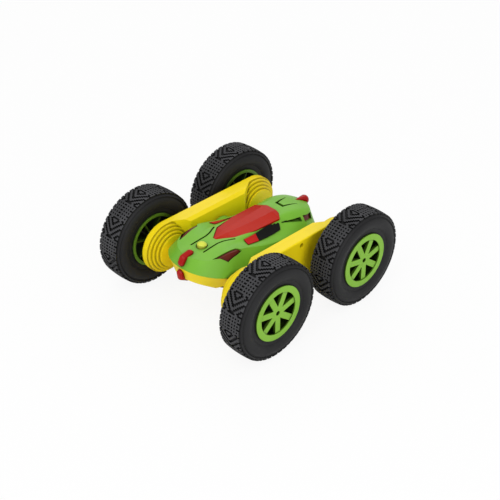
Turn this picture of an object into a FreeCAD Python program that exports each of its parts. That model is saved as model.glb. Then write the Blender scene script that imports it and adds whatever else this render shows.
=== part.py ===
"""Double-sided remote control stunt car with two turning side arms.

Frame: +X is forward, +Y is the car's left, +Z is up. The origin lies on the
floor under the middle of the car. The body hangs between the arms on two
pivots and rests with its nose raised by chassis_pitch. Body pieces are
modelled level, about the pivot axis, and set in place by place_in_chassis.
"""
import FreeCAD, Part
import math
import os
from functools import lru_cache
from FreeCAD import Vector

# ---- driving dimensions, millimetres and degrees ----
wheel_diameter = 70.0
tyre_width = 21.5
track = 119.5
rim_radius = 19.8
spoke_count = 7
spoke_width = 4.4
tyre_wall = 2.4

gear_module = 1.0
hub_teeth = 24
idler_teeth = 18
wheel_teeth = 24
gear_face = 4.0
chassis_module = 0.8
drive_teeth = 20
pinion_teeth = 10
chassis_gear_face = 3.0
backlash = 0.12

body_half_width = 28.0
nose_reach = 64.0
tail_reach = 58.0
body_wall = 2.3
side_draft = 0.475
nose_draft = 0.275
chassis_pitch = 10.0

arm_gap = 2.0
arm_width = 12.0
arm_radius = 19.0
arm_wall = 1.6
arm_round = 1.0
arm_plate = 5.0
arm_beam_half = 26.0
arm_beam_slope = 12.0
arm_steps = 4
arm_chamfer = 2.2

axle_radius = 1.5
idler_pin_radius = 1.25
pivot_radius = 6.0
motor_radius = 10.0
motor_flat = 7.5
motor_length = 25.0
motor_shaft_radius = 1.0
motor_boss_radius = 3.0

screw_head_radius = 1.5
screw_head_height = 1.2
screw_shank_radius = 0.8
running_gap = 0.05
side_gap = 0.3
panel_gap = 0.1

# ---- places worked out from them ----
axle_height = wheel_diameter / 2
tyre_half = tyre_width / 2
wheel_y = track / 2
hub_pitch_radius = gear_module * hub_teeth / 2
idler_pitch_radius = gear_module * idler_teeth / 2
wheel_pitch_radius = gear_module * wheel_teeth / 2
idler_x = hub_pitch_radius + idler_pitch_radius
axle_x = idler_x + idler_pitch_radius + wheel_pitch_radius
motor_x = chassis_module * (drive_teeth + pinion_teeth) / 2

arm_in = body_half_width + arm_gap
arm_out = arm_in + arm_width
arm_parting = arm_in + arm_width / 2
gear_in = arm_parting - 1.0
gear_out = gear_in + gear_face
boss_out = wheel_y - tyre_half - 1.5
screw_hole_radius = screw_head_radius + 0.15


def box(x0, x1, y0, y1, z0, z1):
    """Block between two corners."""
    return Part.makeBox(x1 - x0, y1 - y0, z1 - z0, Vector(x0, y0, z0))


def rod(radius, y0, y1, x=0.0, z=0.0):
    """Cylinder that lies along Y."""
    return Part.makeCylinder(radius, y1 - y0, Vector(x, y0, z), Vector(0, 1, 0))


def post(radius, z0, z1, x, y):
    """Cylinder that stands along Z."""
    return Part.makeCylinder(radius, z1 - z0, Vector(x, y, z0), Vector(0, 0, 1))


def polygon(points):
    """Flat face from a list of corner points."""
    return Part.Face(Part.makePolygon(points + [points[0]]))


def both_sides(shape):
    """The shape and its twin across the XZ plane."""
    return [shape, mirrored(shape)]


def mirrored(shape):
    """Twin of the shape across the XZ plane."""
    return shape.mirror(Vector(0, 0, 0), Vector(0, 1, 0))


def turned_over(shape):
    """Twin of the shape across the XY plane, for the lower half of the body."""
    return shape.mirror(Vector(0, 0, 0), Vector(0, 0, 1))


def place_in_chassis(shape):
    """Pitch a body piece about the pivot axis and raise it to axle height."""
    placed = shape.copy()
    placed.rotate(Vector(0, 0, 0), Vector(0, 1, 0), -chassis_pitch)
    placed.translate(Vector(0, 0, axle_height))
    return placed


def save(name, shape):
    """Write one piece, or a group of equal pieces, to its own file."""
    shape.exportStep("parts/" + name + ".step")


# ---- screws and gears ----
def screw(length):
    """Pan head screw with its seat at y = 0, pointing along -Y."""
    head = rod(screw_head_radius, 0, screw_head_height)
    shank = rod(screw_shank_radius, -length, 0.1)
    slot = box(-screw_head_radius, screw_head_radius, screw_head_height - 0.5,
               screw_head_height + 1, -0.2, 0.2)
    return head.fuse(shank).cut(slot)


def gear(module, teeth, face, bore_radius, half_step=False):
    """Spur gear from y = 0 to y = face with involute tooth angles."""
    pitch_radius = module * teeth / 2
    base_radius = pitch_radius * math.cos(math.radians(20))
    root_radius = pitch_radius - 1.25 * module
    tip_radius = pitch_radius + 0.9 * module
    half_tooth = math.pi / (2 * teeth) - backlash / (2 * pitch_radius)

    def involute(radius):
        ratio = max(1.0, radius / base_radius)
        return math.sqrt(ratio ** 2 - 1) - math.acos(1 / ratio)

    flank = [(r, half_tooth + involute(pitch_radius) - involute(r))
             for r in (root_radius, base_radius, tip_radius) if r >= root_radius]
    if base_radius < root_radius:
        flank = [flank[0], flank[-1]]
    points = []
    for number in range(teeth):
        middle = 2 * math.pi * (number + (0.5 if half_step else 0)) / teeth
        sides = [(r, middle - a) for r, a in flank]
        sides += [(r, middle + a) for r, a in reversed(flank)]
        points += [Vector(r * math.cos(a), 0, r * math.sin(a)) for r, a in sides]
    blank = polygon(points).extrude(Vector(0, face, 0))
    return blank.cut(rod(bore_radius, -1, face + 1))


# ---- wheels, modelled with the wheel's middle at y = 0 and +Y outboard ----
barrel_radius = rim_radius - 0.8
barrel_wall = 1.4
barrel_half = tyre_half - 1.75
flange_half = barrel_half + 1.0
ring_inner_radius = rim_radius - 4.4
spoke_back = barrel_half - 1.6
spoke_face = flange_half - 0.6
hub_radius = 4.2
axle_end = 4.0
screw_seat = axle_end + 1.5
hub_back = boss_out + side_gap - wheel_y


def ring(outer, inner, y0, y1):
    """Tube that lies along Y."""
    return rod(outer, y0, y1).cut(rod(inner, y0 - 1, y1 + 1))


def wheel_rim():
    """Drum with a flat outer ring, straight spokes and ribs behind them."""
    body = ring(barrel_radius, barrel_radius - barrel_wall, -flange_half, flange_half)
    body = body.fuse(ring(rim_radius, barrel_radius - barrel_wall, -flange_half, -barrel_half))
    body = body.fuse(ring(rim_radius, ring_inner_radius, barrel_half, flange_half))
    body = body.fuse(rod(hub_radius, hub_back, spoke_face))
    reach = barrel_radius - barrel_wall / 2
    for number in range(spoke_count):
        spoke = box(0, reach, spoke_back, spoke_face, -spoke_width / 2, spoke_width / 2)
        rib = box(0, reach, hub_back + 4.0, spoke_back, -0.6, 0.6)
        arm = spoke.fuse(rib)
        arm.rotate(Vector(0, 0, 0), Vector(0, 1, 0), 90 + number * 360 / spoke_count)
        body = body.fuse(arm)
    body = body.cut(rod(axle_radius, hub_back - 1, axle_end))
    body = body.cut(rod(screw_shank_radius + 0.05, axle_end - 1, spoke_face + 1))
    return body.cut(rod(screw_hole_radius, screw_seat, spoke_face + 1)).removeSplitter()


def tyre_section(inset):
    """Half of the tyre's section as (radius, y): bead, heel, sidewall, shoulder, crown."""
    radius = wheel_diameter / 2 - inset
    half = tyre_half - inset
    return [(barrel_radius, barrel_half - inset), (rim_radius + 0.2, barrel_half - inset),
            ((rim_radius + radius) / 2, half), (radius - 2.8, half - 0.4),
            (radius - 1.3, half - 1.0), (radius - 0.6, half - 2.3), (radius, 0.0)]


def tyre_outside():
    """Closed wire round the tyre's outer section, from bead to bead."""
    bead, heel, belly, cheek, shoulder, edge, crown = tyre_section(0.0)

    def at(point, side):
        return Vector(point[0], side * point[1], 0)

    wall = [Part.Arc(at(heel, side), at(belly, side), at(cheek, side)) for side in (1, -1)]
    turn = [Part.Arc(at(cheek, side), at(shoulder, side), at(edge, side)) for side in (1, -1)]
    edges = [Part.LineSegment(at(bead, 1), at(heel, 1)), wall[0], turn[0],
             Part.Arc(at(edge, 1), at(crown, 1), at(edge, -1)), turn[1], wall[1],
             Part.LineSegment(at(heel, -1), at(bead, -1)),
             Part.LineSegment(at(bead, -1), at(bead, 1))]
    return Part.Wire(Part.__sortEdges__([edge_line.toShape() for edge_line in edges]))


def wheel_tyre():
    """Hollow soft tyre that sits between the rim's flanges."""
    half_loop = [Vector(radius, y, 0) for radius, y in tyre_section(tyre_wall)[:-1]]
    loop = half_loop + [Vector(v.x, -v.y, 0) for v in reversed(half_loop)]
    outside, hollow = [face.revolve(Vector(0, 0, 0), Vector(0, 1, 0), 360)
                       for face in (Part.Face(tyre_outside()), polygon(loop))]
    return outside.cut(hollow)


def wheel_axle():
    """Steel axle from the arm's inner bearing to the rim, tapped for the screw."""
    start = arm_in + arm_wall / 2 - wheel_y
    tapped = rod(screw_shank_radius, axle_end - 5.0, axle_end + 1)
    return rod(axle_radius, start, axle_end).cut(tapped)


def wheel_pieces():
    """The pieces of one wheel, named by what they are."""
    wheel_screw = screw(screw_seat - axle_end + 4.0)
    wheel_screw.translate(Vector(0, screw_seat, 0))
    drive = gear(gear_module, wheel_teeth, gear_face, axle_radius)
    drive.translate(Vector(0, gear_in - wheel_y, 0))
    return {"tyre": wheel_tyre(), "rim": wheel_rim(), "axle": wheel_axle(),
            "gear": drive, "screw": wheel_screw}


# ---- arms, modelled for the left side about the pivot axis ----
arm_screw_z = arm_radius - 4.0
arm_screws = [(-8.5, arm_screw_z), (8.5, -arm_screw_z), (idler_x + 5.0, arm_screw_z),
              (-idler_x - 5.0, -arm_screw_z)]
arm_boss_radius = 2.6
retainer_seat = arm_in + arm_wall + side_gap
retainer_thick = 1.0
plate_in = arm_out - arm_plate
cap_radius = wheel_pitch_radius - 1.0


def stadium(radius, y0, y1):
    """Long rounded block round both axles."""
    block = box(-axle_x, axle_x, y0, y1, -radius, radius)
    return block.fuse([rod(radius, y0, y1, x) for x in (-axle_x, axle_x)]).removeSplitter()


def beam(margin, y0, y1):
    """Middle of the casing: full height, its ends sloped back to the plate in plan."""
    top = arm_radius - margin
    near = arm_beam_half - margin
    far = near + arm_beam_slope
    corners = [Vector(x, y, -top) for x, y in ((-near, y0), (near, y0), (far, y1), (-far, y1))]
    return polygon(corners).extrude(Vector(0, 0, 2 * top))


def end_steps(x):
    """Round steps from the plate down to the bearing cap, round one axle."""
    depth = (plate_in - arm_in) / arm_steps
    drop = (arm_radius - cap_radius) / arm_steps
    discs = [rod(arm_radius - drop * (number + 0.5), plate_in - depth * (number + 1),
                 plate_in + 0.5, x) for number in range(arm_steps)]
    return discs[0].fuse(discs[1:])


def arm_form():
    """Outer form of the casing: plate, beam towards the body, steps and wheel cones."""
    form = stadium(arm_radius, plate_in, arm_out)
    form = form.makeFillet(arm_round, [edge for edge in form.Edges
                                       if edge.BoundBox.YMin > arm_out - 0.01])
    middle = beam(0.0, arm_in, plate_in + 0.5)
    long_edges = [edge for edge in middle.Edges if edge.BoundBox.YMax < arm_in + 0.01
                  and edge.BoundBox.ZLength < 0.01]
    form = form.fuse(middle.makeChamfer(arm_chamfer, long_edges))
    flare = arm_radius - 3.0
    for x in (-axle_x, axle_x):
        cone = Part.makeCone(flare, axle_radius + 5.0, boss_out - arm_out + 1,
                             Vector(x, arm_out - 1, 0), Vector(0, 1, 0))
        form = form.fuse(end_steps(x)).fuse(cone)
    return form.removeSplitter()


def arm_space():
    """Room inside the casing for the gears."""
    room = stadium(arm_radius - arm_wall, plate_in + 0.5, arm_out - arm_wall)
    room = room.fuse(beam(arm_wall, arm_in + arm_wall, plate_in + 0.5 + arm_wall))
    for x in (-axle_x, axle_x):
        room = room.fuse(rod(wheel_pitch_radius + gear_module + 0.6, gear_in - 0.6,
                             plate_in + 1.0, x))
        room = room.fuse(rod(cap_radius - arm_wall, arm_in + arm_wall, gear_in, x))
    return room.removeSplitter()


def arm_half(outer):
    """One half of the casing, split at the parting plane."""
    form = arm_form()
    far = 2 * arm_out
    keep = box(-far, far, arm_parting, far, -far, far) if outer else \
        box(-far, far, 0, arm_parting, -far, far)
    half = form.common(keep).cut(arm_space())
    for x, z in arm_screws:
        boss = rod(arm_boss_radius, arm_in + arm_wall / 2, arm_out - arm_wall / 2, x, z)
        half = half.fuse(boss.common(form).common(keep))
    pin_boss = idler_pin_radius + 1.2
    for x in (-idler_x, idler_x):
        low = rod(pin_boss, arm_in + arm_wall / 2, gear_in - side_gap, x)
        high = rod(pin_boss, gear_out + side_gap, arm_out - arm_wall / 2, x)
        half = half.fuse(low.fuse(high).common(keep))
        half = half.cut(rod(idler_pin_radius, arm_in + arm_wall / 2, arm_out - arm_wall / 2, x))
    for x in (-axle_x, axle_x):
        low = rod(axle_radius + 1.5, arm_in + arm_wall / 2, gear_in - side_gap, x)
        half = half.fuse(low.common(keep))
        hole = rod(axle_radius + running_gap, arm_in + arm_wall / 2 - 0.2, boss_out + 1, x)
        half = half.cut(hole)
    if outer:
        hub_stop = rod(axle_radius + 2.5, gear_out + side_gap, arm_out - arm_wall / 2)
        half = half.fuse(hub_stop).cut(rod(axle_radius + side_gap, gear_out - 1, gear_out + 1.4))
        for x, z in arm_screws:
            half = half.cut(rod(screw_shank_radius + 0.1, arm_parting - 1, arm_out, x, z))
            half = half.cut(rod(screw_hole_radius, arm_parting + 2.0, arm_out + 1, x, z))
    else:
        for x, z in arm_screws:
            half = half.cut(rod(screw_shank_radius, arm_in + arm_wall, arm_parting + 1, x, z))
        half = half.cut(rod(pivot_radius + running_gap, arm_in - 1, arm_parting))
    return half.removeSplitter()


def arm_pieces():
    """The pieces of the left arm, about the pivot axis."""
    hub = gear(gear_module, hub_teeth, gear_face, axle_radius + running_gap)
    hub.translate(Vector(0, gear_in, 0))
    pieces = {"inner_casing": arm_half(False), "outer_casing": arm_half(True), "hub_gear": hub}
    for place, x in (("front", idler_x), ("rear", -idler_x)):
        idler = gear(gear_module, idler_teeth, gear_face, idler_pin_radius + running_gap, True)
        idler.translate(Vector(x, gear_in, 0))
        pieces["idler_gear_" + place] = idler
    pins = [rod(idler_pin_radius, arm_in + arm_wall / 2, arm_out - arm_wall / 2, x)
            for x in (-idler_x, idler_x)]
    pieces["idler_pins"] = Part.makeCompound(pins)
    screws = []
    for x, z in arm_screws:
        one = screw(6.0)
        one.translate(Vector(x, arm_parting + 2.0, z))
        screws.append(one)
    pieces["casing_screws"] = Part.makeCompound(screws)
    return pieces


# ---- body skin: a smooth height field over a plan outline ----
skin_top = 28.0
skin_stations = [72, 58, 48, 38, 26, 8, -14, -28, -42, -54, -66]
skin_heights = {
    0: [6.0, 8.6, 11.2, 13.2, 15.2, 17.6, 21.6, 24.8, 24.6, 21.6, 15.0],
    6: [6.0, 8.6, 11.2, 13.9, 15.8, 17.8, 21.6, 24.6, 24.4, 21.2, 15.0],
    11: [5.8, 8.4, 11.0, 14.0, 16.0, 18.0, 21.8, 23.8, 23.8, 20.4, 14.0],
    14: [5.6, 8.2, 10.8, 14.0, 14.6, 14.8, 17.0, 22.8, 23.0, 19.0, 13.0],
    18: [5.4, 8.0, 10.8, 14.8, 14.4, 12.4, 13.2, 19.5, 20.5, 15.5, 11.0],
    22: [5.2, 7.8, 10.6, 15.2, 14.6, 11.6, 11.8, 11.8, 11.6, 10.5, 9.0],
    26: [5.0, 7.4, 8.6, 10.6, 10.0, 8.8, 8.8, 8.6, 8.2, 8.0, 8.0],
    32: [5.0, 7.0, 7.0, 7.0, 7.0, 7.0, 7.0, 7.0, 7.0, 7.0, 7.0]}


def clamped(count, degree):
    """Knots and their counts for an open curve with even knots."""
    inner = count - degree - 1
    return list(range(inner + 2)), [degree + 1] + [1] * inner + [degree + 1]


def skin_surface(drop, inset):
    """Top skin of the body, lowered by drop and narrowed by inset."""
    shrink = (body_half_width - inset) / body_half_width
    sides = sorted(skin_heights)
    lines = [-y for y in reversed(sides) if y > 0] + sides
    poles = [[Vector(x, y * shrink, skin_heights[abs(y)][i] - drop) for y in lines]
             for i, x in enumerate(skin_stations)]
    u_knots, u_mults = clamped(len(poles), 3)
    v_knots, v_mults = clamped(len(lines), 2)
    surface = Part.BSplineSurface()
    surface.buildFromPolesMultsKnots(poles, u_mults, v_mults, u_knots, v_knots,
                                     False, False, 3, 2)
    return surface.toShape()


def plan_outline(inset, height=0.0):
    """Outline of the body seen from above; its walls lean in with height."""
    half = body_half_width - inset - side_draft * height
    nose = nose_reach - inset - nose_draft * height
    tail = -tail_reach + inset + nose_draft * height
    nose_side = [(nose - 17, half - 0.7), (nose - 7.8, half - 7.3), (nose - 3.2, half - 14),
                 (nose - 0.7, half - 21)]
    tail_side = [(tail + 0.6, half - 16), (tail + 3.5, half - 8), (tail + 9, half - 2.2)]
    if height:
        nose_side[-1] = (nose - 0.7, (half - 14) / 2)
        tail_side[0] = (tail + 0.6, (half - 8) / 2)
    front = [Vector(nose - 22, half, height)] + [Vector(x, y, height) for x, y in nose_side]
    front += [Vector(nose, 0, height)] + [Vector(v.x, -v.y, height) for v in reversed(front)]
    rear = [Vector(x, y, height) for x, y in tail_side] + [Vector(tail + 22, half, height)]
    rear = [Vector(v.x, -v.y, height) for v in reversed(rear)] + [Vector(tail, 0, height)] + rear
    ahead = Vector(1, 0, 0)
    back = Vector(-1, 0, 0)
    nose_curve = Part.BSplineCurve()
    nose_curve.interpolate(Points=front, InitialTangent=ahead, FinalTangent=back, Scale=False)
    tail_curve = Part.BSplineCurve()
    tail_curve.interpolate(Points=rear, InitialTangent=back, FinalTangent=ahead, Scale=False)
    edges = [nose_curve.toShape(), Part.makeLine(front[-1], rear[0]), tail_curve.toShape(),
             Part.makeLine(rear[-1], front[0])]
    return Part.Wire(edges)


@lru_cache(maxsize=None)
def skin_form(drop=0.0, inset=0.0):
    """Solid under the skin, from the seam plane up."""
    walls = Part.makeLoft([plan_outline(inset), plan_outline(inset, skin_top)], True, True)
    under = skin_surface(drop, inset).extrude(Vector(0, 0, -60))
    return walls.common(under)


def skin_layer(tool, top, bottom):
    """The part of a tool that lies between two depths under the skin."""
    return tool.common(skin_form(top, top * 1.2)).cut(skin_form(bottom, bottom * 1.2))


# ---- what shows on the body's skin ----
canopy_stations = [(35.0, 1.3, 13.6, 0.6, 14.0), (25.0, 8.5, 15.4, 1.6, 16.4),
                   (8.0, 11.6, 18.0, 3.4, 19.4), (-14.5, 12.2, 21.5, 4.8, 23.7),
                   (-18.5, 7.2, 22.6, 4.2, 23.6)]
canopy_depth = 1.4
lens_sink = 0.8
lens_thick = 1.0
groove_half = 0.6
groove_depth = 1.2
headlight_corners = [(51.5, 16.0), (46.0, 16.7), (39.0, 17.9), (33.6, 18.6), (30.5, 21.7),
                     (35.5, 22.4), (43.3, 22.7)]
tail_light_corners = [(-33.4, 20.7), (-43.6, 20.3), (-43.4, 15.9), (-33.8, 16.8)]
vent_corners = [(-14.5, 18.6), (-31.0, 20.3), (-31.3, 17.6)]
vent_depth = 1.9
scoop_depth = 1.8
hood_groove_points = [(50.5, 6.1), (37.6, 5.9), (33.3, 6.8), (25.6, 10.3)]
dome_x = 46.2
dome_radius = 3.4
dome_stem = 3.0
nose_lamp_radius = 2.6
nose_lamp_out = 1.8
lamp_split = 1.2
rear_lamp_slope = 14.0


def canopy_block(grow, rise):
    """Faceted window block; grow widens it and rise lifts its top."""
    sections = []
    for x, half, edge_z, ridge, ridge_z in canopy_stations:
        wide = half + grow
        points = [Vector(x, -wide, edge_z - canopy_depth), Vector(x, -wide, edge_z + rise),
                  Vector(x, -ridge, ridge_z + rise), Vector(x, ridge, ridge_z + rise),
                  Vector(x, wide, edge_z + rise), Vector(x, wide, edge_z - canopy_depth)]
        sections.append(Part.makePolygon(points + [points[0]]))
    return Part.makeLoft(sections, True, True)


def plan_prism(corners, grow=0.0):
    """Upright prism over plan corners given as (x, y), grown all round."""
    face = polygon([Vector(x, y, 0) for x, y in corners])
    if grow:
        face = Part.Face(face.OuterWire.makeOffset2D(grow, 2))
    return face.extrude(Vector(0, 0, 60))


def side_prism(corners):
    """Prism along Y over corners given as (x, z), on the left side only."""
    return polygon([Vector(x, 8, z) for x, z in corners]).extrude(Vector(0, 40, 0))


def hood_grooves():
    """Two narrow slits that run from the canopy down the hood."""
    slits = []
    for start, end in zip(hood_groove_points, hood_groove_points[1:]):
        along = Vector(end[0] - start[0], end[1] - start[1], 0)
        across = Vector(-along.y, along.x, 0).normalize() * groove_half
        corners = [Vector(*start, 0) - across, Vector(*start, 0) + across,
                   Vector(*end, 0) + across, Vector(*end, 0) - across]
        slits.append(polygon(corners).extrude(Vector(0, 0, 60)))
    slit = slits[0].fuse(slits[1:])
    return Part.makeCompound(both_sides(slit.cut(skin_form(groove_depth))))


def nose_lamp():
    """Bean shaped lamp that wraps from the nose on to the hood."""
    radius = nose_lamp_radius
    x = nose_reach + nose_lamp_out - radius
    low = Vector(x, 0, lamp_split + radius)
    knee = Vector(x - 1.0, 0, skin_heights[0][1] - 1.8)
    high = Vector(x - 6.4, 0, skin_heights[0][1] + 0.2)
    body = Part.makeSphere(radius, low)
    for start, end in ((low, knee), (knee, high)):
        along = end - start
        body = body.fuse(Part.makeCylinder(radius, along.Length, start, along))
        body = body.fuse(Part.makeSphere(radius, end))
    point = Part.makeCone(radius, 0.5, 3.6, high, Vector(-1, 0, 0.05))
    return body.fuse(point)


def rear_lamp():
    """Drop shaped lamp on the tail with its point to the front."""
    radius = 3.6
    length = 10.0
    slope = radius / length
    touch = math.asin(slope)
    tangent = Vector(-radius * math.sin(touch), radius * math.cos(touch), 0)
    outline = [Part.makeLine(Vector(-length, 0, 0), tangent),
               Part.Arc(tangent, Vector(radius * math.cos(1.0), radius * math.sin(1.0), 0),
                        Vector(radius, 0, 0)).toShape(),
               Part.makeLine(Vector(radius, 0, 0), Vector(-length, 0, 0))]
    drop = Part.Face(Part.Wire(outline)).revolve(Vector(0, 0, 0), Vector(1, 0, 0), 360)
    drop.rotate(Vector(0, 0, 0), Vector(0, 0, 1), 180)
    drop.rotate(Vector(0, 0, 0), Vector(0, 1, 0), -rear_lamp_slope)
    drop.translate(Vector(-tail_reach + radius + 1.8, 0, skin_heights[0][9] - 0.2))
    return drop


def hood_dome(grow=0.0):
    """Round button light on the hood."""
    radius = dome_radius + grow
    base = skin_heights[0][2] - 1.4
    top = base + dome_stem
    if grow:
        return post(radius, base, top + radius, dome_x, 0)
    cap = Part.makeSphere(radius * 1.25, Vector(dome_x, 0, top - radius * 0.75))
    cap = cap.common(post(radius, top, top + radius, dome_x, 0))
    return post(radius, base, top, dome_x, 0).fuse(cap)


def rear_scoop():
    """Bracket shaped groove behind the roof, round a raised deck."""
    front = -tail_reach + 32.2
    rear = front - 13.0
    outline = plan_prism([(front, -3.8), (front, 3.8), (rear, 5.8), (rear, -5.8)])
    deck = plan_prism([(front - 2.2, -2.5), (front - 2.2, 2.5), (rear - 1, 5.6), (rear - 1, -5.6)])
    return outline.cut(deck).cut(skin_form(scoop_depth))


def lenses(corners, along_side):
    """Lens plates for a lamp recess, left and right."""
    tool = side_prism(corners) if along_side else plan_prism(corners)
    return both_sides(skin_layer(tool, lens_sink, lens_sink + lens_thick))


def lens_recess(corners, along_side, depth):
    """Pocket for a lens plate, left and right."""
    tool = side_prism(corners) if along_side else plan_prism(corners)
    return both_sides(tool.cut(skin_form(depth, depth * 1.2)))


# ---- inside of the body ----
shell_screws = [(27.5, 20.0), (27.5, -20.0), (-27.5, 20.5), (-27.5, -20.5)]
shell_boss_radius = 2.5
shell_screw_seat = 3.0
frame_in = 12.5
frame_thick = 2.0
frame_reach = 26.0
frame_half = 8.0
board_thick = 1.6
board_bottom = -1.5
board_half = body_half_width / 2
board_post_y = board_half - 2.5
board_posts = [(33.0, board_post_y), (33.0, -board_post_y), (52.0, board_post_y),
               (52.0, -board_post_y)]
drive_gear_in = frame_in + frame_thick + 1.0
drive_gear_out = drive_gear_in + chassis_gear_face
bush_flange = 2.0
bush_in = body_half_width - body_wall * 1.3 - bush_flange
flange_radius = pivot_radius + 2.0
door_screw_x = -26.0
door_thick = body_wall * 0.75
battery_x = -37.0
battery_z = -11.0
cell_radius = 5.2
cell_length = 21.0
door_corners = [(-23.0, -9.0), (-23.0, 9.0), (-40.0, 11.0), (-40.0, -11.0)]
switch_x = 43.0
switch_seat = 8.2
switch_travel = 3.0
knob_half = 0.9


def shell_space():
    """Hollow of one body half."""
    return skin_form(body_wall, body_wall * 1.3)


def pivot_notch():
    """Round holes through both side walls for the pivot bushes and their flanges."""
    hole = rod(pivot_radius, 0, body_half_width + 1)
    hole = hole.fuse(rod(flange_radius, bush_in - 1, bush_in + bush_flange))
    return Part.makeCompound(both_sides(hole))


def shell_half():
    """Hollow body half with its screw bosses and pivot pads, common to both halves."""
    form = skin_form()
    shell = form.cut(shell_space())
    upper_side = box(-nose_reach, nose_reach, -nose_reach, nose_reach, 0, nose_reach)
    for pad in both_sides(rod(flange_radius + 1.8, bush_in, body_half_width)):
        shell = shell.fuse(pad.common(upper_side))
    for x, y in shell_screws:
        shell = shell.fuse(post(shell_boss_radius, 0, 60, x, y).common(form))
    return shell.cut(pivot_notch())


def upper_shell():
    """Green body half with the canopy seat and lamp recesses."""
    shell = shell_half().cut(canopy_block(panel_gap, 8.0))
    for x, y in shell_screws:
        shell = shell.cut(post(screw_shank_radius, -1, 7, x, y))
    shell = shell.cut(hood_dome(0.5)).cut(nose_lamp()).cut(rear_lamp()).cut(rear_scoop())
    shell = shell.cut(hood_grooves())
    shell = shell.cut(lens_recess(headlight_corners, False, lens_sink + lens_thick))
    shell = shell.cut(lens_recess(tail_light_corners, True, lens_sink + lens_thick))
    return shell.cut(lens_recess(vent_corners, True, vent_depth))


def lower_shell():
    """Yellow body half, turned over, with the battery door and switch slot."""
    shell = shell_half().cut(nose_lamp())
    form = skin_form()
    frame_floor = motor_flat + frame_thick
    posts = [post(2.0, -board_bottom, 60, x, y) for x, y in board_posts]
    posts += [post(2.0, frame_floor, 60, x, y) for x in (-22.0, 22.0) for y in (-12.0, 12.0)]
    saddle = box(battery_x - 9, battery_x + 9, -9.0, -7.5, -battery_z, 60)
    posts += both_sides(saddle.cut(turned_over(battery_pack(0.1))))
    posts.append(box(switch_x - 4.5, switch_x + 4.5, -7, 7, switch_seat, 60))
    boss_start = cell_radius - battery_z + side_gap
    posts.append(post(shell_boss_radius, boss_start, 60, door_screw_x, 0))
    for one in posts:
        shell = shell.fuse(one.common(form))
    for x, y in shell_screws:
        shell = shell.cut(post(screw_shank_radius + 0.15, -1, 60, x, y))
        shell = shell.cut(post(screw_hole_radius, shell_screw_seat, 60, x, y))
    shell = shell.cut(lens_recess(headlight_corners, False, lens_sink + lens_thick))
    shell = shell.cut(lens_recess(tail_light_corners, True, lens_sink + lens_thick))
    shell = shell.cut(plan_prism(door_corners, panel_gap).cut(skin_form(door_thick)))
    opening = [(x - 6.0 if x > battery_x else x + 1.5, y * 0.86) for x, y in door_corners]
    shell = shell.cut(plan_prism(opening))
    shell = shell.cut(post(screw_shank_radius, 17, 60, door_screw_x, 0))
    return turned_over(shell.cut(switch_slot(0, 60)))


def switch_slot(z0, z1):
    """Room that the switch knob slides in."""
    half_x = knob_half + side_gap
    half_y = switch_travel / 2 + knob_half + side_gap
    return box(switch_x - half_x, switch_x + half_x, -half_y, half_y, z0, z1)


def power_switch():
    """Slide switch housing on its pad inside the lower half."""
    housing = box(switch_x - 3.5, switch_x + 3.5, -5.5, 5.5, -switch_seat, -switch_seat + 4)
    return housing.cut(switch_slot(-switch_seat - 1, -switch_seat + 1.6))


def switch_knob():
    """Knob of the slide switch, at the off end of its travel."""
    middle = -switch_travel / 2
    return box(switch_x - knob_half, switch_x + knob_half, middle - knob_half,
               middle + knob_half, -skin_z(switch_x, 0), -switch_seat + 1.6 - side_gap)


def skin_z(x, y):
    """Height of the skin over one place."""
    return post(0.2, 0, 60, x, y).common(skin_form()).BoundBox.ZMax


def battery_pack(grow=0.0):
    """Two cells side by side across the tail, wrapped together in film."""
    radius = cell_radius + grow
    half = cell_length / 2 + grow
    cells = [rod(radius, -half, half, battery_x + side * cell_radius, battery_z)
             for side in (-1, 1)]
    middle = box(battery_x - cell_radius, battery_x + cell_radius, -half, half,
                 battery_z - radius, battery_z + radius)
    return middle.fuse(cells).removeSplitter()


def battery_door():
    """Flush door under the battery, sunk for its screw."""
    plate = plan_prism(door_corners).common(skin_form()).cut(skin_form(door_thick))
    plate = plate.cut(post(screw_shank_radius + 0.15, 0, 60, door_screw_x, 0))
    seat = skin_z(door_screw_x, 0) - screw_head_height
    return turned_over(plate.cut(post(screw_hole_radius, seat, 60, door_screw_x, 0)))


def upright_screw(length, x, y, seat):
    """Screw put in from below, its head's seat at the given height."""
    one = screw(length)
    one.rotate(Vector(0, 0, 0), Vector(1, 0, 0), -90)
    one.translate(Vector(x, y, seat))
    return one


def motor_frame():
    """Cradle that holds both motors and the inner ends of the drive shafts."""
    outer = frame_in + frame_thick
    frame = box(-frame_reach, frame_reach, -outer, outer,
                -motor_flat - frame_thick, -motor_flat)
    for side in (1, -1):
        y0, y1 = sorted((side * frame_in, side * outer))
        frame = frame.fuse(box(-frame_reach, frame_reach, y0, y1, -motor_flat - 1, frame_half))
        frame = frame.cut(rod(axle_radius + running_gap, y0 - 1, y1 + 1))
        frame = frame.cut(rod(motor_boss_radius, y0 - 1, y1 + 1, side * motor_x))
    return frame.removeSplitter()


def motor():
    """Flat-sided can motor of the left side, with its front boss."""
    can = rod(motor_radius, frame_in - motor_length, frame_in, motor_x)
    flats = box(0, 2 * motor_x, -motor_length, motor_length, -motor_flat, motor_flat)
    can = can.common(flats).fuse(rod(motor_boss_radius, frame_in - 1, frame_in + frame_thick,
                                     motor_x))
    return can.cut(rod(motor_shaft_radius + running_gap, frame_in - 4, frame_in + 5, motor_x))


def motor_pinion():
    """Pinion of the left motor with the shaft that it is pressed on."""
    teeth = gear(chassis_module, pinion_teeth, chassis_gear_face, motor_shaft_radius, True)
    teeth.translate(Vector(motor_x, drive_gear_in, 0))
    shaft = rod(motor_shaft_radius, frame_in - 4 + side_gap, drive_gear_out, motor_x)
    return teeth.fuse(shaft)


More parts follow.
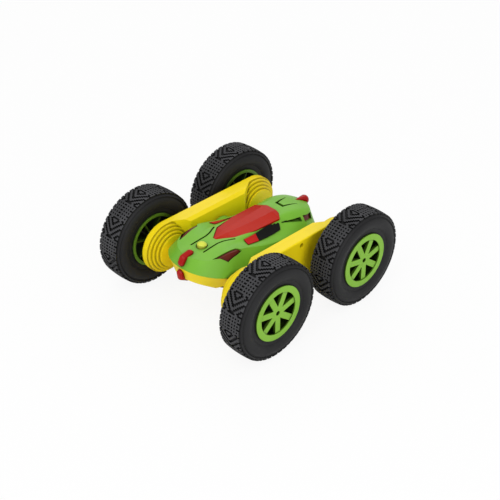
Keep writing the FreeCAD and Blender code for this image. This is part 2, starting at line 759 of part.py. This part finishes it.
def drive_gear():
    """Gear on the left drive shaft, which runs out through the pivot."""
    teeth = gear(chassis_module, drive_teeth, chassis_gear_face, axle_radius)
    teeth.translate(Vector(0, drive_gear_in, 0))
    return teeth.fuse(rod(axle_radius, frame_in, gear_out + 1))


def pivot_bush():
    """Flanged bush of the left side that the arm turns on."""
    bush = rod(pivot_radius, bush_in, retainer_seat)
    bush = bush.fuse(rod(flange_radius, bush_in, bush_in + bush_flange))
    return bush.cut(rod(axle_radius + running_gap, 0, arm_out))


def pivot_retainer():
    """Washer with a collar that keeps the left arm on its bush."""
    washer = rod(pivot_radius + 2, retainer_seat, retainer_seat + retainer_thick)
    washer = washer.fuse(rod(axle_radius + 1.3, retainer_seat, gear_in - side_gap))
    return washer.cut(rod(axle_radius + running_gap, 0, arm_out))


def circuit_board():
    """Receiver board in the nose."""
    x0, x1 = board_posts[0][0] - 3, board_posts[-1][0] + 3
    return box(x0, x1, -board_half, board_half, board_bottom, board_bottom + board_thick)


def board_components():
    """Chip, crystal and capacitor on the board."""
    top = board_bottom + board_thick
    chip = box(38, 45, -3.5, 3.5, top, top + 1.2)
    crystal = box(47, 50, -4, 4, top, top + 2.6)
    capacitor = post(2.2, top, top + 5.0, 34.5, 6)
    return Part.makeCompound([chip, crystal, capacitor])


def chassis_pieces():
    """The pieces of the body, level and about the pivot axis."""
    headlights = lenses(headlight_corners, False)
    tail_lights = lenses(tail_light_corners, True)
    screws = [upright_screw(shell_screw_seat + 6, x, y, -shell_screw_seat)
              for x, y in shell_screws]
    door_seat = screw_head_height - skin_z(door_screw_x, 0)
    return {
        "upper_shell": upper_shell(), "lower_shell": lower_shell(),
        "canopy": canopy_block(0.0, 0.0), "hood_dome": hood_dome(),
        "nose_lamp_upper": nose_lamp(), "nose_lamp_lower": turned_over(nose_lamp()),
        "rear_lamp": rear_lamp(),
        "headlight_lenses": Part.makeCompound(headlights + [turned_over(s) for s in headlights]),
        "tail_light_lenses": Part.makeCompound(tail_lights + [turned_over(s) for s in tail_lights]),
        "battery_door": battery_door(), "battery_pack": battery_pack(),
        "battery_door_screw": upright_screw(5.0, door_screw_x, 0, door_seat),
        "shell_screws": Part.makeCompound(screws),
        "power_switch": power_switch(), "switch_knob": switch_knob(),
        "circuit_board": circuit_board(), "board_components": board_components(),
        "motor_frame": motor_frame(),
        "left_motor": motor(), "right_motor": other_side(motor()),
        "left_motor_pinion": motor_pinion(), "right_motor_pinion": other_side(motor_pinion()),
        "left_drive_gear": drive_gear(), "right_drive_gear": mirrored(drive_gear()),
        "pivot_bushes": Part.makeCompound(both_sides(pivot_bush())),
        "pivot_retainers": Part.makeCompound(both_sides(pivot_retainer()))}


def other_side(shape):
    """The shape turned half a turn about Z, as the motors lie nose to tail."""
    turned = shape.copy()
    turned.rotate(Vector(0, 0, 0), Vector(0, 0, 1), 180)
    return turned


# ---- the whole car ----
for name, piece in chassis_pieces().items():
    save(name, place_in_chassis(piece))

for name, piece in arm_pieces().items():
    piece.translate(Vector(0, 0, axle_height))
    save("left_arm_" + name, piece)
    save("right_arm_" + name, mirrored(piece))

for name, piece in wheel_pieces().items():
    piece.translate(Vector(0, wheel_y, axle_height))
    for place, x in (("front", axle_x), ("rear", -axle_x)):
        left = piece.copy()
        left.translate(Vector(x, 0, 0))
        save("left_" + place + "_wheel_" + name, left)
        save("right_" + place + "_wheel_" + name, mirrored(left))
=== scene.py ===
import math
import bpy
from mathutils import Vector, Matrix


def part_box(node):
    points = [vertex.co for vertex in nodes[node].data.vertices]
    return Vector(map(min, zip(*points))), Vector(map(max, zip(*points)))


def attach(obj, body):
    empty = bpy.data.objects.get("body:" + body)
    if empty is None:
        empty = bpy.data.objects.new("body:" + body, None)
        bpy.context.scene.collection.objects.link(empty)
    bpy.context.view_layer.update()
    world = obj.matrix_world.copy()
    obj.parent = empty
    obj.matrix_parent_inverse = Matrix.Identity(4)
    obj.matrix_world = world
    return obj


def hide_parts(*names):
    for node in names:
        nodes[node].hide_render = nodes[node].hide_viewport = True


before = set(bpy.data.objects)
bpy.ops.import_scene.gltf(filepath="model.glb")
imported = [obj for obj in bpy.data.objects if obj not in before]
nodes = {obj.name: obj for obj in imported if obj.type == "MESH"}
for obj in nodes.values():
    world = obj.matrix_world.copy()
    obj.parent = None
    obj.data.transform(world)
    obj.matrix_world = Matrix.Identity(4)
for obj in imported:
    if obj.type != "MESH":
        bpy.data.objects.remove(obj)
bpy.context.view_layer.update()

sides = ("left", "right")

# ---- Camera, floor and light ----
# The car stands on a plain white floor, seen from ahead and to its left, from above.
# Three large soft lamps and an even pale surround light it.
view_target = Vector((0, 0, 0.035))
view_turn = math.radians(45.33)
view_rise = math.radians(34.123)
view_distance = 0.8191
floor_gap = 0.0002
camera_data = bpy.data.cameras.new("camera")
camera_data.lens = 85.17
camera_data.sensor_width = 36
camera_data.shift_x = 0.0029
camera_data.shift_y = -0.0119
camera = bpy.data.objects.new("camera", camera_data)
bpy.context.collection.objects.link(camera)
sight = Vector((math.cos(view_rise) * math.cos(view_turn),
                math.cos(view_rise) * math.sin(view_turn),
                math.sin(view_rise)))
camera.location = view_target + sight * view_distance
camera.rotation_euler = sight.to_track_quat("Z", "Y").to_euler()
bpy.context.scene.camera = camera
bpy.context.scene.view_settings.view_transform = "Standard"

for name, place, size, power in (("key_lamp", (0.75, 0.35, 1.25), 1.1, 8.0),
                                 ("fill_lamp", (0.3, 1.4, 0.6), 1.2, 6.0),
                                 ("back_lamp", (-1.0, -0.8, 1.0), 0.9, 3.0)):
    lamp_data = bpy.data.lights.new(name, "AREA")
    lamp_data.size = size
    lamp_data.energy = power
    lamp = bpy.data.objects.new(name, lamp_data)
    bpy.context.collection.objects.link(lamp)
    lamp.location = place
    lamp.rotation_euler = (Vector(place) - view_target).to_track_quat("Z", "Y").to_euler()

world = bpy.data.worlds.new("surround")
bpy.context.scene.world = world
world.use_nodes = True
tree = world.node_tree
tree.nodes.clear()
ray = tree.nodes.new("ShaderNodeLightPath")
seen = tree.nodes.new("ShaderNodeMath")
seen.operation = "MAXIMUM"
tree.links.new(ray.outputs["Is Camera Ray"], seen.inputs[0])
tree.links.new(ray.outputs["Is Transmission Ray"], seen.inputs[1])
surround = tree.nodes.new("ShaderNodeBackground")
surround.inputs["Color"].default_value = (1, 1, 1, 1)
surround.inputs["Strength"].default_value = 0.6
backdrop = tree.nodes.new("ShaderNodeBackground")
backdrop.inputs["Color"].default_value = (1, 1, 1, 1)
mixed = tree.nodes.new("ShaderNodeMixShader")
output = tree.nodes.new("ShaderNodeOutputWorld")
tree.links.new(seen.outputs[0], mixed.inputs[0])
tree.links.new(surround.outputs[0], mixed.inputs[1])
tree.links.new(backdrop.outputs[0], mixed.inputs[2])
tree.links.new(mixed.outputs[0], output.inputs[0])

bpy.ops.object.select_all(action="DESELECT")
bpy.ops.mesh.primitive_plane_add(size=6, location=(0, 0, -floor_gap))
floor = bpy.context.object
floor.name = "floor"
floor_finish = bpy.data.materials.new("floor_finish")
floor_finish.use_nodes = True
tree = floor_finish.node_tree
paint = tree.nodes["Principled BSDF"]
paint.inputs["Base Color"].default_value = (0.92, 0.92, 0.92, 1)
paint.inputs["Roughness"].default_value = 0.9
ray = tree.nodes.new("ShaderNodeLightPath")
share = tree.nodes.new("ShaderNodeMath")
share.operation = "MULTIPLY"
share.inputs[1].default_value = 0.9
glow = tree.nodes.new("ShaderNodeEmission")
mixed = tree.nodes.new("ShaderNodeMixShader")
tree.links.new(ray.outputs["Is Camera Ray"], share.inputs[0])
tree.links.new(share.outputs[0], mixed.inputs[0])
tree.links.new(paint.outputs[0], mixed.inputs[1])
tree.links.new(glow.outputs[0], mixed.inputs[2])
tree.links.new(mixed.outputs[0], tree.nodes["Material Output"].inputs["Surface"])
floor.data.materials.append(floor_finish)


# ---- Upper body half ----
# The green half of the body is injection moulded plastic, thin walled and semi-gloss.
# Its skin has a fine moulded grain and is slightly paler where the plastic has been scuffed, and
# painted shade darkens its corners and grooves. The other materials are made in the same way.
scuff_scale = 45.0
scuff_from, scuff_to = 0.35, 0.75
painted_shade_contrast = 1.6
grain_scale, grain_height = 2200.0, 0.000012
edge_rounding = 0.0003


def surface_finish(name, colour, pale, roughness=0.34, painted_shade_reach=0.004, gloss=0.22, metallic=0.0):
    """A material between two tints, with painted shade darkening its corners up to the given reach
    in metres.
    """
    finish = bpy.data.materials.new(name)
    finish.use_nodes = True
    tree = finish.node_tree
    shader = tree.nodes["Principled BSDF"]
    shader.inputs["Roughness"].default_value = roughness
    shader.inputs["Specular IOR Level"].default_value = gloss
    shader.inputs["Metallic"].default_value = metallic
    place = tree.nodes.new("ShaderNodeTexCoord")
    cloud = tree.nodes.new("ShaderNodeTexNoise")
    cloud.inputs["Scale"].default_value = scuff_scale
    cloud.inputs["Detail"].default_value = 4.0
    tint = tree.nodes.new("ShaderNodeValToRGB")
    tint.color_ramp.elements[0].position = scuff_from
    tint.color_ramp.elements[0].color = (*colour, 1)
    tint.color_ramp.elements[1].position = scuff_to
    tint.color_ramp.elements[1].color = (*pale, 1)
    tree.links.new(place.outputs["Object"], cloud.inputs["Vector"])
    tree.links.new(cloud.outputs["Fac"], tint.inputs["Fac"])
    # Painted shade: ambient occlusion darkens the tint in corners and grooves.
    painted_shade_ao = tree.nodes.new("ShaderNodeAmbientOcclusion")
    painted_shade_ao.samples = 6
    painted_shade_ao.inputs["Distance"].default_value = painted_shade_reach
    depth = tree.nodes.new("ShaderNodeMath")
    depth.operation = "POWER"
    depth.inputs[1].default_value = painted_shade_contrast
    shade = tree.nodes.new("ShaderNodeHueSaturation")
    tree.links.new(painted_shade_ao.outputs["AO"], depth.inputs[0])
    tree.links.new(depth.outputs[0], shade.inputs["Value"])
    tree.links.new(tint.outputs["Color"], shade.inputs["Color"])
    tree.links.new(shade.outputs["Color"], shader.inputs["Base Color"])
    grit = tree.nodes.new("ShaderNodeTexNoise")
    grit.inputs["Scale"].default_value = grain_scale
    edge = tree.nodes.new("ShaderNodeBevel")
    edge.samples = 4
    edge.inputs["Radius"].default_value = edge_rounding
    bump = tree.nodes.new("ShaderNodeBump")
    tree.links.new(edge.outputs["Normal"], bump.inputs["Normal"])
    bump.inputs["Strength"].default_value = 0.25
    bump.inputs["Distance"].default_value = grain_height
    tree.links.new(place.outputs["Object"], grit.inputs["Vector"])
    tree.links.new(grit.outputs["Fac"], bump.inputs["Height"])
    tree.links.new(bump.outputs["Normal"], shader.inputs["Normal"])
    return finish


def finish_nodes(finish, *names):
    for name in names:
        for slot in nodes[name].material_slots:
            slot.material = finish


green_body = surface_finish("green_body", (0.18, 0.47, 0.035), (0.21, 0.51, 0.045))
finish_nodes(green_body, "upper_shell")


# ---- Lower body half and battery door ----
# The yellow half is the same kind of moulding, turned over; its battery door is flush with it.
yellow_body = surface_finish("yellow_body", (0.95, 0.74, 0.008), (0.97, 0.78, 0.012))
finish_nodes(yellow_body, "lower_shell", "battery_door")


# ---- Side arms ----
# Each arm is a yellow casing in two halves, screwed together over the gear train.
arm_yellow = surface_finish("arm_yellow", (0.95, 0.72, 0.006), (0.97, 0.77, 0.01), painted_shade_reach=0.002)
finish_nodes(arm_yellow, *[side + "_arm_" + half for side in sides
                           for half in ("inner_casing", "outer_casing")])


# ---- Canopy and lamps ----
# The window is deep red and opaque, as nothing shows through it; the lamps are glossier and darker.
red_window = surface_finish("red_window", (0.46, 0.016, 0.006), (0.52, 0.022, 0.008),
                            roughness=0.3, gloss=0.12)
finish_nodes(red_window, "canopy")
red_lamp = surface_finish("red_lamp", (0.37, 0.006, 0.005), (0.43, 0.01, 0.006), roughness=0.15)
finish_nodes(red_lamp, "nose_lamp_upper", "nose_lamp_lower", "rear_lamp")
dark_lens = surface_finish("dark_lens", (0.13, 0.012, 0.004), (0.17, 0.018, 0.006),
                           roughness=0.35, gloss=0.2)
finish_nodes(dark_lens, "headlight_lenses", "tail_light_lenses")
dome_light = surface_finish("dome_light", (0.66, 0.73, 0.05), (0.72, 0.78, 0.09), roughness=0.3)
finish_nodes(dome_light, "hood_dome")


# ---- Rims, axles and screws ----
# Seven straight spokes inside a flat ring, moulded in lime green; the metal is plain steel.
wheels = [side + "_" + end + "_wheel" for side in sides for end in ("front", "rear")]
# The rim's painted shade reaches 2 cm, so the hollow behind the spokes is painted dark.
green_rim = surface_finish("green_rim", (0.2, 0.44, 0.03), (0.23, 0.48, 0.04),
                           roughness=0.36, painted_shade_reach=0.02)
finish_nodes(green_rim, *[wheel + "_rim" for wheel in wheels])
steel = surface_finish("steel", (0.5, 0.5, 0.52), (0.6, 0.6, 0.6), roughness=0.3, metallic=1.0)
finish_nodes(steel, "battery_door_screw", "shell_screws",
             *[wheel + part for wheel in wheels for part in ("_axle", "_screw")],
             *[side + "_arm_" + part for side in sides
               for part in ("idler_pins", "casing_screws")])


# ---- Tyres ----
# Soft black rubber: smooth bulging sidewalls and a fine tread of drilled plates and chevron ribs.
# One tyre is spun from its section, its tread blocks are pushed out, and three copies are made.
# The tops of the blocks are painted paler than the rest, a painted highlight where light falls on
# them.
tyre_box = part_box("left_front_wheel_tyre")
tyre_middle = (Vector(tyre_box[0]) + Vector(tyre_box[1])) / 2
tyre_radius = (tyre_box[1][2] - tyre_box[0][2]) / 2
tyre_half = (tyre_box[1][1] - tyre_box[0][1]) / 2
rim_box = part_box("left_front_wheel_rim")
rim_radius = (rim_box[1][2] - rim_box[0][2]) / 2
tread_depth = 0.0012
tread_half = tyre_half * 0.79
tread_rows = 16
tread_steps = 192
unit_steps = 24
plate_steps = unit_steps // 2
tread_slack = 0.001
base_radius = tyre_radius - tread_depth
crown_drop = 0.0005
edge_drop, edge_width = 0.0007, 0.0006
shoulder_drop, shoulder_inset = 0.0016, 0.0008
belly_radius = (rim_radius + tyre_radius) / 2
belly_drop, belly_bulge = 0.0018, 0.0026
belly_start, belly_sweep, belly_steps = 0.15, 0.72, 8
bead_half = tyre_half - 0.00175
bead_gap, lip_depth, lip_inset = 0.0002, 0.0006, 0.0003


def tyre_flank():
    """One side of the section, from the tread's edge in to the bead, as (radius, y)."""
    flank = [(base_radius - edge_drop, tread_half + edge_width),
             (base_radius - shoulder_drop, tyre_half - shoulder_inset)]
    for number in range(belly_steps + 1):
        turn = math.pi * (belly_start + belly_sweep * number / belly_steps)
        flank.append((belly_radius + math.cos(turn) * (base_radius - belly_drop - belly_radius),
                      tyre_half - belly_bulge + math.sin(turn) * belly_bulge))
    return flank + [(rim_radius + bead_gap, bead_half),
                    (rim_radius - lip_depth, bead_half - lip_inset)]


def raised(step, row):
    """Whether a cell of the tread stands out: each unit is half drilled plate, half ribs."""
    place = step % unit_steps
    edge = min(row, tread_rows - 1 - row)
    on_plate = place < plate_steps
    if edge == 0:
        return place % 4 != (3 if on_plate else 2)
    if place % plate_steps == plate_steps - 1:
        return edge in (3, 4)
    if on_plate:
        return not (place % 2 == 1 and edge % 2 == 1)
    return (place + edge) % 4 < 2


crown = [(base_radius - crown_drop * (2 * row / tread_rows - 1) ** 2,
          tread_half * (2 * row / tread_rows - 1)) for row in range(tread_rows + 1)]
flank = tyre_flank()
section = [(radius, -y) for radius, y in reversed(flank)] + crown + flank
bpy.ops.object.select_all(action="DESELECT")
bpy.ops.mesh.primitive_circle_add(vertices=len(section), fill_type="NOTHING")
tyre = bpy.context.object
tyre.name = "left_front_wheel_tread_tyre"
for vertex, (radius, y) in zip(tyre.data.vertices, section):
    vertex.co = tyre_middle + Vector((0, y, radius))
bpy.ops.object.mode_set(mode="EDIT")
bpy.ops.mesh.select_all(action="SELECT")
bpy.ops.mesh.spin(steps=tread_steps, angle=2 * math.pi, center=tyre_middle, axis=(0, 1, 0))
bpy.ops.mesh.select_all(action="SELECT")
bpy.ops.mesh.remove_doubles(threshold=0.00002)
bpy.ops.mesh.normals_make_consistent(inside=False)
bpy.ops.mesh.select_all(action="DESELECT")
bpy.ops.mesh.select_mode(type="FACE")
bpy.ops.object.mode_set(mode="OBJECT")
for face in tyre.data.polygons:
    offset = face.center - tyre_middle
    height = math.hypot(offset.x, offset.z)
    turn = math.atan2(offset.z, offset.x) % (2 * math.pi)
    row = math.floor((offset.y / tread_half + 1) / 2 * tread_rows)
    on_tread = 0 <= row < tread_rows and height > base_radius - tread_slack
    face.select = on_tread and raised(int(turn / (2 * math.pi) * tread_steps), row)
bpy.ops.object.mode_set(mode="EDIT")
bpy.ops.mesh.extrude_region_shrink_fatten(TRANSFORM_OT_shrink_fatten={"value": tread_depth})
bpy.ops.object.mode_set(mode="OBJECT")
bpy.ops.object.shade_smooth_by_angle(angle=math.radians(32))
black_rubber = surface_finish("black_rubber", (0.011, 0.011, 0.012), (0.016, 0.016, 0.017),
                              roughness=0.55, painted_shade_reach=0.003)
# Painted highlight: the block tops get this paler rubber, as if lit, and the rest stays black.
lit_top_rubber = surface_finish("lit_top_rubber", (0.035, 0.035, 0.037), (0.07, 0.07, 0.075),
                             roughness=0.7, painted_shade_reach=0.002)
tyre.data.materials.append(black_rubber)
tyre.data.materials.append(lit_top_rubber)
for face in tyre.data.polygons:
    face.material_index = 1 if face.select else 0
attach(tyre, "left_front_wheel")
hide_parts("left_front_wheel_tyre")
for wheel in wheels[1:]:
    twin_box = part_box(wheel + "_tyre")
    twin = bpy.data.objects.new(wheel + "_tread_tyre", tyre.data.copy())
    bpy.context.collection.objects.link(twin)
    shift = (Vector(twin_box[0]) + Vector(twin_box[1])) / 2 - tyre_middle
    twin.data.transform(Matrix.Translation(shift))
    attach(twin, wheel)
    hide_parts(wheel + "_tyre")


# ---- Gears, pivots and motors ----
# The gear trains are white nylon, the bushes, the motor cradle and the switch black, the motor
# cans plated.
white_nylon = surface_finish("white_nylon", (0.72, 0.72, 0.68), (0.8, 0.8, 0.76), roughness=0.4)
finish_nodes(white_nylon, *[side + "_" + part for side in sides
                            for part in ("arm_hub_gear", "arm_idler_gear_front",
                                         "arm_idler_gear_rear", "drive_gear", "motor_pinion")],
             *[wheel + "_gear" for wheel in wheels])
black_plastic = surface_finish("black_plastic", (0.02, 0.02, 0.022), (0.03, 0.03, 0.032),
                               roughness=0.4)
finish_nodes(black_plastic, "pivot_bushes", "pivot_retainers", "motor_frame", "power_switch",
             "switch_knob", "board_components")
motor_can = surface_finish("motor_can", (0.55, 0.54, 0.5), (0.66, 0.65, 0.61),
                           roughness=0.28, metallic=1.0)
finish_nodes(motor_can, "left_motor", "right_motor")


# ---- Battery and circuit board ----
# Two cells wrapped in blue film, and a green lacquered board.
battery_film = surface_finish("battery_film", (0.02, 0.07, 0.3), (0.03, 0.09, 0.36),
                              roughness=0.25)
finish_nodes(battery_film, "battery_pack")
board_lacquer = surface_finish("board_lacquer", (0.01, 0.16, 0.05), (0.015, 0.2, 0.06),
                               roughness=0.3)
finish_nodes(board_lacquer, "circuit_board")


# ---- Side plates and vent shade ----
# A plain black plate with a red front end lies along each side of the window, without letters.
# A dark sheet of painted shade lies in the pointed vent behind it, standing for the shadow inside.
# Each is laid on the body's own skin.
# Each station of a plate is (x, low y, lean of the high corner in x, high y), each corner of a
# vent (x, z), in millimetres from the pivot axis.
body_pitch = math.radians(10)
pivot_height = tyre_middle.z
plate_level = 17
plate_stations = ((21.2, 13.5, 1.1, 18.9), (9.5, 12.7, 1.6, 17.9), (-14.5, 11.0, 3.1, 16.4))
plate_lift, plate_thickness = 0.0003, 0.0006
vent_reach = 22
vent_corners = ((-30.6, 18.2), (-15.6, 18.7), (-15.6, 18.9), (-30.4, 19.8))
vent_lift, vent_thickness = 0.0002, 0.0003


def from_body(x, y, z):
    """A place in millimetres from the pivot axis, along the body, which sits nose up."""
    return Vector((x * math.cos(body_pitch) - z * math.sin(body_pitch), y,
                   x * math.sin(body_pitch) + z * math.cos(body_pitch))) / 1000 \
        + Vector((0, 0, pivot_height))


def laid_plate(name, corners, across, lift, thickness, finish):
    """A thin plate between four corners, pressed on to the upper shell along one axis."""
    bpy.ops.object.select_all(action="DESELECT")
    bpy.ops.mesh.primitive_grid_add(x_subdivisions=36, y_subdivisions=8, size=2)
    plate = bpy.context.object
    plate.name = name
    for vertex in plate.data.vertices:
        u, v = (vertex.co.x + 1) / 2, (vertex.co.y + 1) / 2
        near = corners[0].lerp(corners[1], u)
        far = corners[3].lerp(corners[2], u)
        vertex.co = near.lerp(far, v)
    wrap = plate.modifiers.new("wrap", "SHRINKWRAP")
    wrap.target = nodes["upper_shell"]
    wrap.wrap_method = "PROJECT"
    wrap.use_project_y = across
    wrap.use_project_z = not across
    wrap.use_negative_direction = True
    wrap.use_positive_direction = True
    wrap.wrap_mode = "ABOVE_SURFACE"
    wrap.offset = lift
    bpy.ops.object.modifier_apply(modifier=wrap.name)
    thick = plate.modifiers.new("thick", "SOLIDIFY")
    thick.thickness = thickness
    thick.offset = 0
    bpy.ops.object.modifier_apply(modifier=thick.name)
    bpy.ops.object.mode_set(mode="EDIT")
    bpy.ops.mesh.select_all(action="SELECT")
    bpy.ops.mesh.normals_make_consistent(inside=False)
    bpy.ops.object.mode_set(mode="OBJECT")
    bpy.ops.object.shade_smooth_by_angle(angle=math.radians(35))
    plate.data.materials.append(finish)
    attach(plate, "chassis")


plate_red = surface_finish("plate_red", (0.5, 0.012, 0.01), (0.56, 0.02, 0.015),
                           roughness=0.6, gloss=0.1)
plate_black = surface_finish("plate_black", (0.006, 0.006, 0.006), (0.01, 0.01, 0.01),
                             roughness=0.6, gloss=0.1)
for side, sign in zip(sides, (1, -1)):
    front, middle, back = [(from_body(x, sign * low, plate_level),
                            from_body(x + lean, sign * high, plate_level))
                           for x, low, lean, high in plate_stations]
    laid_plate(side + "_plate_red", [middle[0], front[0], front[1], middle[1]], False,
               plate_lift, plate_thickness, plate_red)
    laid_plate(side + "_plate_black", [back[0], middle[0], middle[1], back[1]], False,
               plate_lift, plate_thickness, plate_black)
    # Painted shade: a black sheet laid in the vent stands for the shadow inside it.
    vent_shade = [from_body(x, sign * vent_reach, z) for x, z in vent_corners]
    laid_plate(side + "_vent", vent_shade, True,
               vent_lift, vent_thickness, plate_black)
